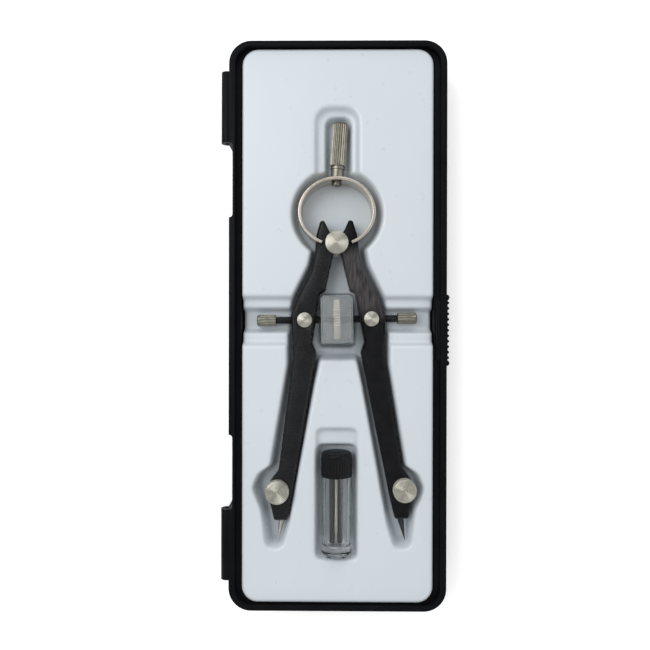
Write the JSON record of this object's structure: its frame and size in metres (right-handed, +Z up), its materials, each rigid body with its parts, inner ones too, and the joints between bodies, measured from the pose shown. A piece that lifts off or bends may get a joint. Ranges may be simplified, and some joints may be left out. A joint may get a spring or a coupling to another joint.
{
  "type": "drafting compass set",
  "caption": "Spring bow compass with centre wheel, needle and lead, lying with a vial of spare leads in the pocketed tray of a hard plastic case.",
  "frame": {"origin": "middle of the case's underside, on the surface it lies on", "axes": "+Y along the case towards the compass handle, +X to the thumb-grip side, +Z up out of the case"},
  "size_m": [0.0766, 0.19, 0.0193],
  "materials": {
    "case_plastic": "satin moulded",
    "tray_plastic": "vacuum-formed satin",
    "black_paint": "semi-gloss enamel",
    "bright_steel": "polished",
    "nickel": "nickel plated",
    "blackened_steel": "blackened thread",
    "wheel_nickel": "knurled nickel",
    "frosted_plastic": "frosted translucent",
    "clear_plastic": "clear",
    "cap_plastic": "ribbed satin",
    "graphite": "graphite"
  },
  "bodies": {
    "case": {"case_base": "case_plastic", "tray_insert": "tray_plastic"},
    "head": {"head_spring": "nickel", "fulcrum_roller": "bright_steel", "fulcrum_front_cap": "bright_steel", "fulcrum_back_cap": "bright_steel", "handle_rivet": "nickel"},
    "handle": {"handle_grip": "nickel"},
    "left_leg": {"left_leg": "black_paint"},
    "right_leg": {"right_leg": "black_paint"},
    "left_trunnion": {"left_trunnion": "bright_steel", "left_trunnion_retainer": "bright_steel"},
    "right_trunnion": {"right_trunnion": "bright_steel", "right_trunnion_retainer": "bright_steel"},
    "left_thumb_screw": {"left_thumb_screw": "bright_steel"},
    "right_thumb_screw": {"right_thumb_screw": "bright_steel"},
    "needle_point": {"needle_point": "bright_steel"},
    "lead": {"lead": "graphite"},
    "left_knob": {"left_end_knob": "nickel"},
    "spindle": {"left_screw_rod": "blackened_steel", "right_screw_rod": "blackened_steel", "centre_wheel": "wheel_nickel", "right_end_knob": "nickel"},
    "wheel_guard": {"wheel_guard": "frosted_plastic"},
    "vial": {"vial_tube": "clear_plastic", "spare_leads": "graphite", "spare_needle": "bright_steel"},
    "vial_cap": {"vial_cap": "cap_plastic"}
  },
  "joints": [
    {"name": "compass_lift", "type": "slide", "parent": "case", "child": "head", "axis": [0, 0, 1], "range_m": [0, 0.1]},
    {"name": "handle_spin", "type": "hinge", "parent": "head", "child": "handle", "pos_m": [-0.0003, 0.0496, 0.0114], "axis": [0.068, 0.9977, 0], "continuous": true},
    {"name": "left_leg_open", "type": "hinge", "parent": "head", "child": "left_leg", "pos_m": [-0.0003, 0.028, 0.0114], "axis": [0, 0, -1], "range_deg": [0, 9.5], "deforming": ["head_spring"]},
    {"name": "right_leg_open", "type": "hinge", "parent": "head", "child": "right_leg", "pos_m": [-0.0003, 0.028, 0.0114], "axis": [0, 0, 1], "range_deg": [0, 9.5], "deforming": ["head_spring"]},
    {"name": "left_trunnion_turn", "type": "hinge", "parent": "left_leg", "child": "left_trunnion", "pos_m": [-0.01105, 0.00211, 0.0114], "axis": [0, 0, 1], "range_deg": [0, 9.5]},
    {"name": "right_trunnion_turn", "type": "hinge", "parent": "right_leg", "child": "right_trunnion", "pos_m": [0.01135, 0.0025, 0.0114], "axis": [0, 0, -1], "range_deg": [0, 9.5]},
    {"name": "spindle_travel", "type": "slide", "parent": "left_trunnion", "child": "left_knob", "axis": [0.9998, 0.0175, 0], "range_m": [0, 0.00409]},
    {"name": "wheel_spin", "type": "hinge", "parent": "left_knob", "child": "spindle", "pos_m": [0.00015, 0.0023, 0.0114], "axis": [0.9998, 0.0175, 0], "range_deg": [0, 2102.46]},
    {"name": "guard_lift", "type": "slide", "parent": "left_knob", "child": "wheel_guard", "axis": [0, 0, 1], "range_m": [0, 0.03]},
    {"name": "left_screw_turn", "type": "hinge", "parent": "left_leg", "child": "left_thumb_screw", "pos_m": [-0.02015, -0.05541, 0.0114], "axis": [0, 0, 1], "range_deg": [0, 720]},
    {"name": "right_screw_turn", "type": "hinge", "parent": "right_leg", "child": "right_thumb_screw", "pos_m": [0.02245, -0.05467, 0.0114], "axis": [0, 0, 1], "range_deg": [0, 720]},
    {"name": "needle_slide", "type": "slide", "parent": "left_leg", "child": "needle_point", "axis": [0.1649, 0.9863, 0], "range_m": [0, 0.004]},
    {"name": "lead_slide", "type": "slide", "parent": "right_leg", "child": "lead", "axis": [-0.1992, 0.98, 0], "range_m": [0, 0.004]},
    {"name": "vial_lift", "type": "slide", "parent": "case", "child": "vial", "axis": [0, 0, 1], "range_m": [0, 0.06]},
    {"name": "cap_pull", "type": "slide", "parent": "vial", "child": "vial_cap", "axis": [0, 1, 0], "range_m": [0, 0.015]}
  ],
  "couplings": [
    {"joint": "left_leg_open", "follows": "compass_lift", "rad_per_m": 1.6581},
    {"joint": "right_leg_open", "follows": "compass_lift", "rad_per_m": 1.6581},
    {"joint": "left_trunnion_turn", "follows": "compass_lift", "rad_per_m": 1.6581},
    {"joint": "right_trunnion_turn", "follows": "compass_lift", "rad_per_m": 1.6581},
    {"joint": "spindle_travel", "follows": "compass_lift", "ratio": 0.040881},
    {"joint": "wheel_spin", "follows": "compass_lift", "rad_per_m": 366.95},
    {"joint": "cap_pull", "follows": "vial_lift", "ratio": 0.25}
  ]
}
